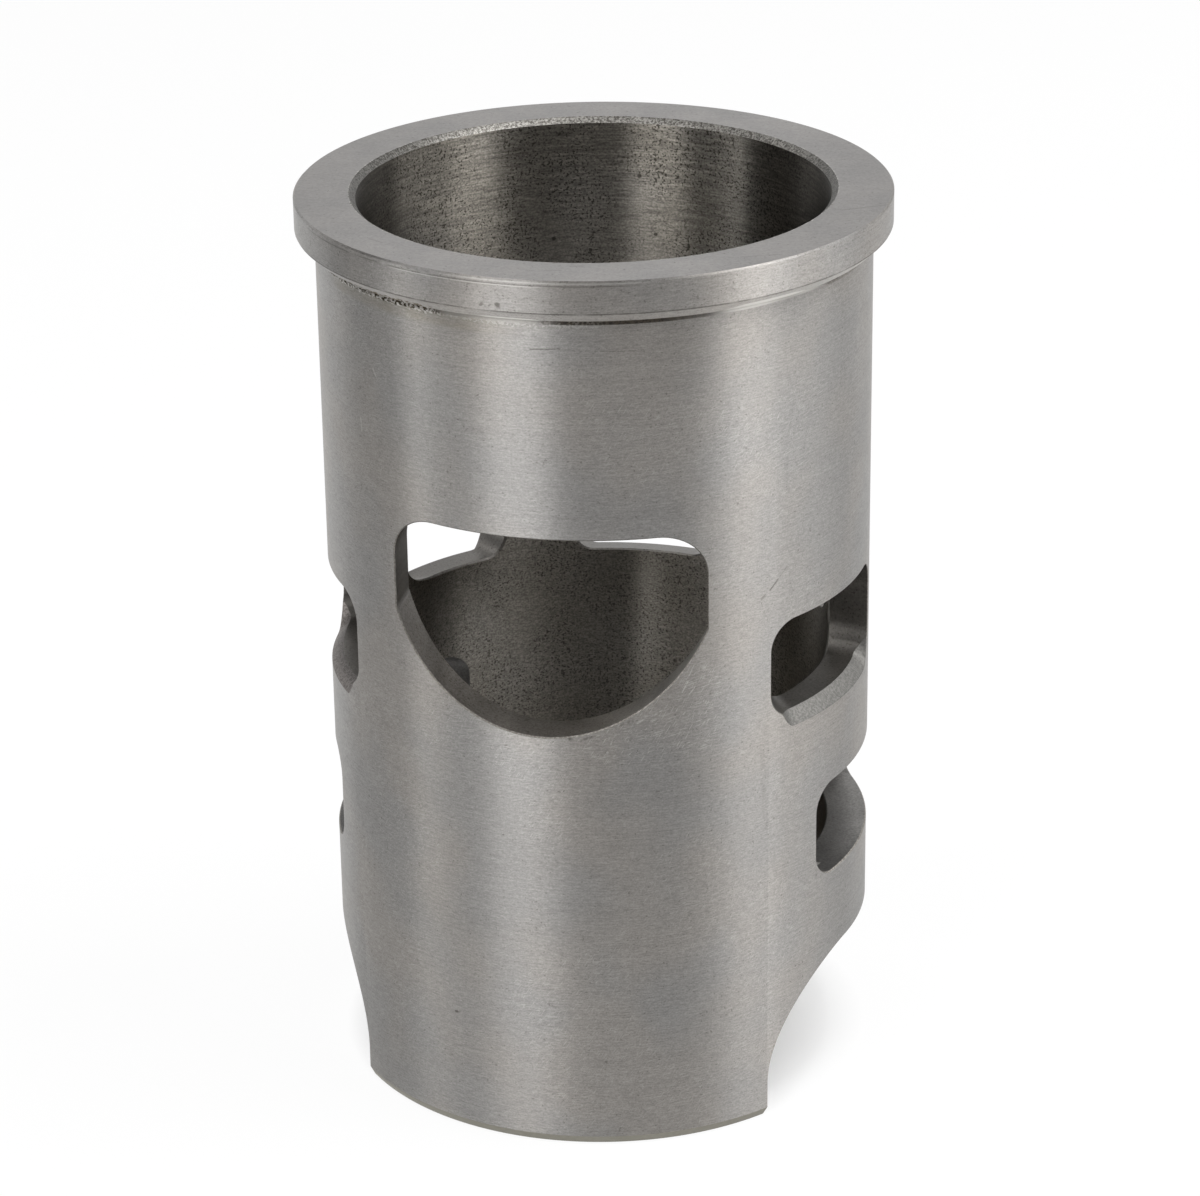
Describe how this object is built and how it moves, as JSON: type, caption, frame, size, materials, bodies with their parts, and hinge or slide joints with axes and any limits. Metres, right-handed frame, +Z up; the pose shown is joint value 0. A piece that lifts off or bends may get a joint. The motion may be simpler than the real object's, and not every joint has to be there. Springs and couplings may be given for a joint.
{
  "type": "cylinder liner",
  "caption": "Flanged wet sleeve for a ported two-stroke cylinder, with a honed bore, milled ports and a cut-away skirt.",
  "frame": {"origin": "centre of the skirt's foot, on the bore axis", "axes": "+Z up the bore axis to the head face, exhaust port facing -Y, transfer ports mirrored across X = 0"},
  "size_m": [0.1008, 0.1008, 0.1575],
  "materials": {
    "iron": "turned and ground grey iron, honed bore, milled ports"
  },
  "bodies": {
    "root": {"cylinder_liner": "iron"}
  },
  "joints": []
}
